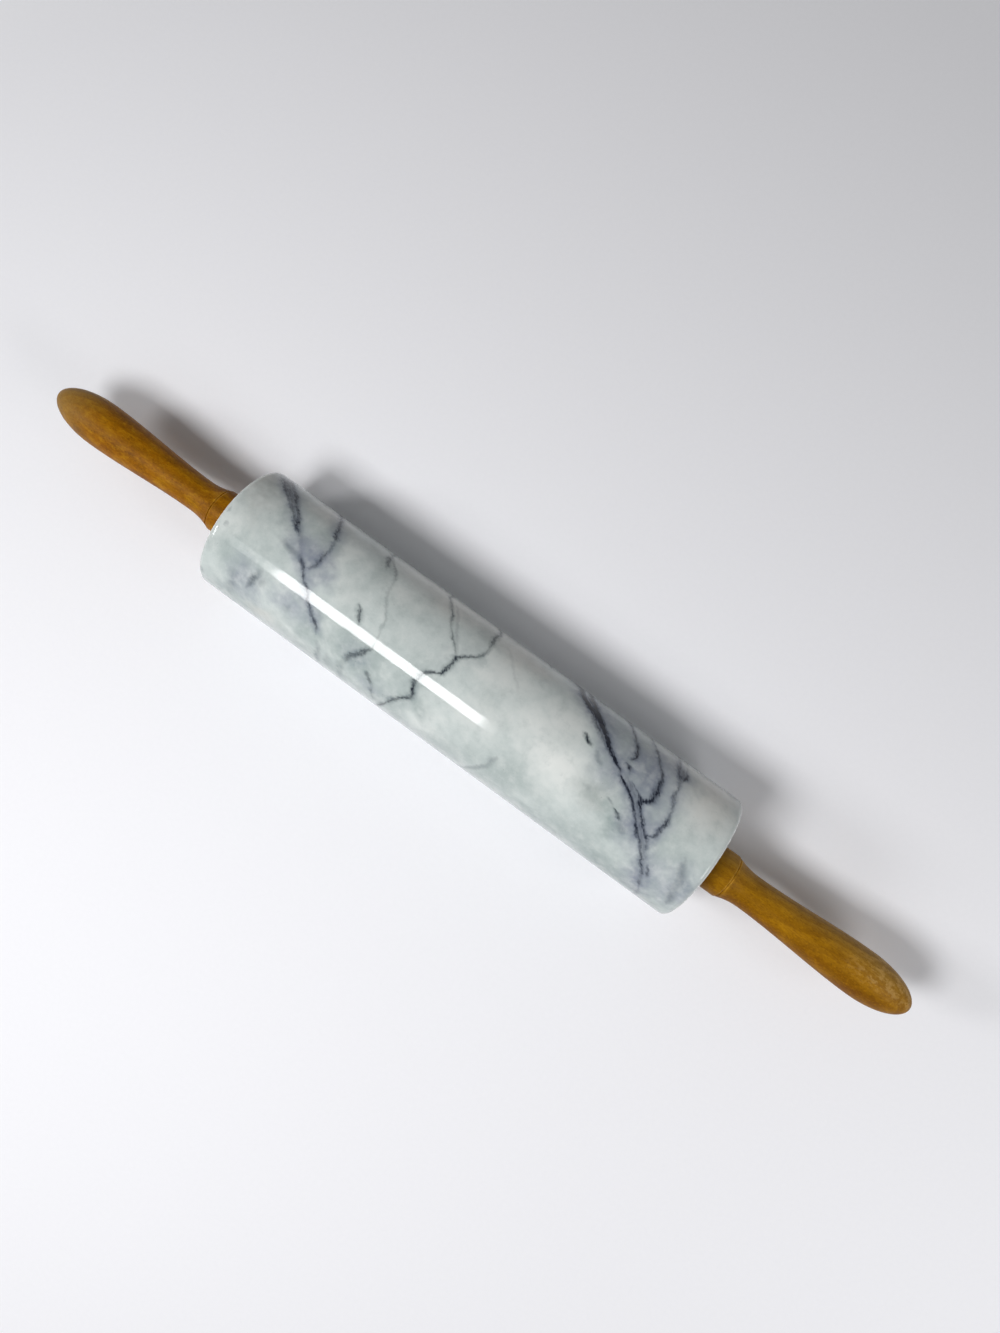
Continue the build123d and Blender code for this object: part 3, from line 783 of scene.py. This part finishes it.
def varnished_wood():
    graph = Surface("varnished_wood")
    shade = WOOD_SHADES
    place = graph.position()
    blotch = graph.noise(along_grain(graph, place, BLOTCH_SHARE), *BLOTCH)
    figure = graph.noise(along_grain(graph, place, FIGURE_SHARE), *FIGURE)
    fibre = graph.noise(along_grain(graph, place, FIBRE_SHARE), *FIBRE)
    speckle = graph.noise(along_grain(graph, place, SPECKLE_SHARE), *SPECKLE)
    pores = graph.cells(along_grain(graph, place, PORE_SHARE), PORE_SPACING)

    along, side, _ = graph.split(place)
    on_right = along.ramp(-1.0, 1.0)
    lively = 1.0 - on_right * CALMER
    grown = graph.layered(
        shade["left"],
        (on_right, shade["right"]),
        (side.fade(-2.0, -9.0) * blotch.ramp(0.35, 0.6, 0.7, 0.1), shade["red"]),
        # Painted shade on the right handle's side towards -Y, and a painted sheen on its other
        # side.
        (side.fade(-1.0, -8.0) * on_right * SIDE_TINT, shade["dark"]),
        (side.fade(0.0, 9.0) * on_right * SIDE_TINT, shade["sheen_side"]),
        (blotch.fade(0.5, 0.7, 0.0, 0.5) * lively, shade["light"]),
        (blotch.fade(0.5, 0.3, 0.0, 0.5) * lively, shade["dark"]),
        (figure.fade(0.48, 0.72, 0.0, 0.6) * lively, shade["light"]),
        (figure.fade(0.5, 0.28, 0.0, 0.45) * lively, shade["dark"]),
        (growth_rings(graph, place) * figure.varied(0.1, 0.45), shade["ring"]),
        (fibre.fade(0.45, 0.75, 0.0, 0.4), shade["ring"]),
        (speckle.fade(0.5, 0.72, 0.0, 0.42), shade["light"]),
        (speckle.fade(0.48, 0.28, 0.0, 0.35), shade["ring"]),
        (pores.fade(0.26, 0.1, 0.0, 0.5), shade["pore"]),
    )

    outward = abs(along) - HANDLE_START
    # Paler, greyer left nose: partly wear, partly a painted sheen.
    worn_and_sheen = outward.fade(*WORN_AND_SHEEN_NOSE) * (1.0 - on_right) * speckle.varied(0.35, 0.75)
    # Pale flecks on the right nose's +Y side: scuffed varnish and a painted sheen.
    scuffed_and_sheen = outward.fade(*SCUFFED_AND_SHEEN_NOSE) * on_right * side.fade(-4.0, 3.0)
    scuffs_and_sheen = scuffed_and_sheen * (figure * 0.7 + speckle * 0.3).fade(0.46, 0.6, 0.08, 0.5)
    # Painted shade on the collar next to the barrel, where the barrel and the handle shade each
    # other.
    collar_shade = outward.fade(*COLLAR_SHADE) * blotch.varied(0.2, 0.7)
    # A painted highlight along the groove's edges, stronger on the right handle, that also paints
    # over the shade falling into the groove.
    groove = outward.fade(*GROOVE_NEAR_EDGE) * outward.fade(*GROOVE_FAR_EDGE)
    groove_shows = figure.ramp(0.35, 0.6, 0.15, 0.85) * (on_right * 0.5 + 0.5)
    used = graph.layered(
        grown,
        (worn_and_sheen, shade["worn_and_sheen"]),
        (scuffs_and_sheen, shade["scuffed_and_sheen"]),
        (collar_shade, shade["collar_shade"]),
        (groove * groove_shows * side.fade(-9.0, -3.0), shade["groove"]),
    )
    return graph.finish(
        Base_Color=used,
        Roughness=speckle.varied(0.4, 0.55),
        Specular_IOR_Level=WOOD_SPECULAR,
        Normal=graph.bump(fibre + speckle * 0.8, WOOD_RELIEF),
    )


# The pieces inside: each metal's bright and dull shade, the stains' noise, and the width of the
# lathe's marks
METAL_SHADES = {
    "bright_steel": (srgb(176, 176, 178), srgb(138, 136, 134)),
    "turned_brass": (srgb(210, 176, 104), srgb(160, 124, 70)),
}
METAL_STAIN = (4.0, 4.0, 0.6)
METAL_MARKS = 0.12
METAL_ROUGHNESS = 0.2
METAL_RELIEF = 0.004

NYLON_SHADES = {
    "white": srgb(226, 226, 219),
    "cloudy": srgb(216, 214, 203),
    "dust": srgb(168, 164, 152),
}
NYLON_CLOUD = (3.0, 3.0, 0.5)
NYLON_DUST = (0.4, 2.0, 0.7)
NYLON_MARKS = 0.3
NYLON_RELIEF = 0.01


def tool_marks(graph, place, width):
    """Fine rings left by a lathe, on round sides and on end faces."""
    x, y, z = graph.split(place)
    return graph.noise(graph.vector(x, distance(y, z), 0.0), width)


def machined_metal(name):
    graph = Surface(name)
    bright, dull = METAL_SHADES[name]
    place = graph.position()
    marks = tool_marks(graph, place, METAL_MARKS)
    stain = graph.noise(place, *METAL_STAIN)
    stained = stain.fade(0.4, 0.7, 0.0, 0.6) * marks.varied(0.6, 1.0)
    return graph.finish(
        Base_Color=graph.mix(stained, bright, dull),
        Metallic=1.0,
        Roughness=marks * 0.12 + stain * 0.1 + METAL_ROUGHNESS,
        Normal=graph.bump(marks, METAL_RELIEF),
    )


def white_nylon():
    graph = Surface("white_nylon")
    shade = NYLON_SHADES
    place = graph.position()
    marks = tool_marks(graph, place, NYLON_MARKS)
    cloud = graph.noise(place, *NYLON_CLOUD)
    dust = graph.noise(place, *NYLON_DUST)
    colour = graph.layered(
        shade["white"],
        (cloud.fade(0.35, 0.65), shade["cloudy"]),
        (dust.fade(0.6, 0.78, 0.0, 0.35), shade["dust"]),
    )
    return graph.finish(
        Base_Color=colour,
        Roughness=marks.varied(0.38, 0.5),
        Normal=graph.bump(marks, NYLON_RELIEF),
    )


def dress(nodes, material):
    for name in nodes:
        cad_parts[name].material_slots[0].material = material


def both(name):
    return [f"left_{name}", f"right_{name}"]


dress(["marble_barrel"], polished_marble())
dress(both("handle"), varnished_wood())
dress(both("bushing"), white_nylon())
dress(["axle_rod"] + both("washer") + both("lock_nut"), machined_metal("bright_steel"))
dress(both("insert"), machined_metal("turned_brass"))


# Floor: its outline, its speckled shades and its finish
FLOOR_RADIUS = 4.0
FLOOR_SIDES = 96
FLOOR_SHADES = (srgb(245, 245, 249), srgb(248, 248, 252))
FLOOR_SPECKLE = 2.0
FLOOR_ROUGHNESS = 0.7
FLOOR_SPECULAR = 0.5

# The far part of the floor, and the walls beyond it, look equally pale and give the pin no light.
# Where the far part begins and is full, in millimetres from the pin's middle.
FAR = (380.0, 650.0)
WALLS_SEEN = 0.85

# Behind the pin, away from the lamps, the far part starts dimmer by DIM. Behind is measured on a
# line that leans towards +X by DIM_LEAN. DIM_BEHIND is where on it the dimming begins and is full,
# and DIM_ROUND the same for the distance from the pin's middle.
DIM = 0.2
DIM_LEAN = 0.6
DIM_BEHIND = (-200.0, 400.0)
DIM_ROUND = (1500.0, 380.0)


def pale_floor():
    graph = Surface("pale_floor")
    place = graph.position()
    x, y, _ = graph.split(place)
    radius = distance(x, y)
    far = radius.fade(*FAR) * graph.seen()
    dim = (y + x * DIM_LEAN).fade(*DIM_BEHIND) * radius.fade(*DIM_ROUND) * DIM
    colour = graph.mix(graph.noise(place, FLOOR_SPECKLE), *FLOOR_SHADES)
    return graph.finish(
        Base_Color=graph.mix(far, colour, BLACK),
        Roughness=FLOOR_ROUGHNESS,
        Specular_IOR_Level=FLOOR_SPECULAR - far * FLOOR_SPECULAR,
        Emission_Color=WHITE,
        Emission_Strength=far * (WALLS_SEEN - dim),
    )


def build_floor():
    corners = []
    for side in range(FLOOR_SIDES):
        angle = 2 * math.pi * side / FLOOR_SIDES
        corners.append((FLOOR_RADIUS * math.cos(angle), FLOOR_RADIUS * math.sin(angle), FLOOR_Z))
    mesh = bpy.data.meshes.new("floor")
    mesh.from_pydata(corners, [], [range(FLOOR_SIDES)])
    mesh.materials.append(pale_floor())
    floor = bpy.data.objects.new("floor", mesh)
    bpy.context.scene.collection.objects.link(floor)


build_floor()

# Lights: a soft box over the left half, with a narrow lamp beside it that only carries its
# reflection on, a weaker box further left and one beyond the right end, which give the handles'
# shadows their parts, and a small one that gleams on the right handle. A lamp's brightness is the
# share of white that it gives a surface facing it.
LAMPS = {
    "key": {"place": (-0.189, -0.385, 0.755), "size": (0.32, 0.25), "brightness": 0.57},
    "key_edge": {"place": (-0.389, -0.385, 0.755), "size": (0.08, 0.22), "brightness": 0.018},
    "left_box": {"place": (-1.0, -0.52, 0.755), "size": (0.3, 0.3), "brightness": 0.24},
    "right_box": {"place": (0.62, -0.13, 0.42), "size": (0.22, 0.22), "brightness": 0.19},
    "gleam": {"place": (0.60, 0.14, 0.42), "size": (0.16, 0.16), "brightness": 0.05},
}

# The plain light of a pale room. Reflections and the camera see walls at the horizon that pass
# into a darker ceiling at CEILING_FROM, the height that a look of length 1 rises to.
ROOM_LIGHT = 0.13
CEILING_SEEN = 0.4
CEILING_FROM = 0.5


def lamp(name, place, size, brightness):
    """A rectangular lamp that faces the pin, with two of its sides level along the spin axis."""
    data = bpy.data.lights.new(name, "AREA")
    data.shape = "RECTANGLE"
    data.size, data.size_y = size
    place = Vector(place)
    data.energy = brightness * (math.pi * place.length) ** 2
    back = place.normalized()
    right = (Vector((1, 0, 0)) - back * back.x).normalized()
    turned = Matrix((right, back.cross(right), back)).transposed().to_4x4()
    obj = bpy.data.objects.new(name, data)
    obj.matrix_world = Matrix.Translation(place) @ turned
    obj.visible_camera = False
    bpy.context.scene.collection.objects.link(obj)


def room():
    world = bpy.data.worlds.new("room")
    bpy.context.scene.world = world
    world.use_nodes = True
    graph = Graph(world.node_tree)
    coordinates = graph.node("ShaderNodeTexCoord")
    _, _, height = graph.split(Field(graph, coordinates.outputs["Generated"]))
    look = height.ramp(0.0, CEILING_FROM, WALLS_SEEN, CEILING_SEEN)
    background = graph.node("ShaderNodeBackground")
    graph.feed(background.inputs["Color"], WHITE)
    graph.feed(background.inputs["Strength"], graph.seen().ramp(0.0, 1.0, ROOM_LIGHT, look))
    output = graph.node("ShaderNodeOutputWorld")
    graph.tree.links.new(background.outputs[0], output.inputs[0])


for name, facts in LAMPS.items():
    lamp(name, **facts)
room()

# Camera: almost straight above the pin, turned so that the pin runs down to the right
CAMERA_PLACE = (0.0382, 0.0208, 0.4306)
CAMERA_TURN_DEGREES = (2.04, 3.81, 35.79)
LENS = 26.2
SENSOR = 36.0
NEAREST_SEEN = 0.01


def build_camera():
    data = bpy.data.cameras.new("camera")
    data.lens = LENS
    data.sensor_width = SENSOR
    data.clip_start = NEAREST_SEEN
    camera = bpy.data.objects.new("camera", data)
    camera.location = CAMERA_PLACE
    camera.rotation_euler = Euler([math.radians(angle) for angle in CAMERA_TURN_DEGREES])
    bpy.context.scene.collection.objects.link(camera)
    bpy.context.scene.camera = camera


build_camera()
bpy.context.scene.view_settings.view_transform = "Standard"
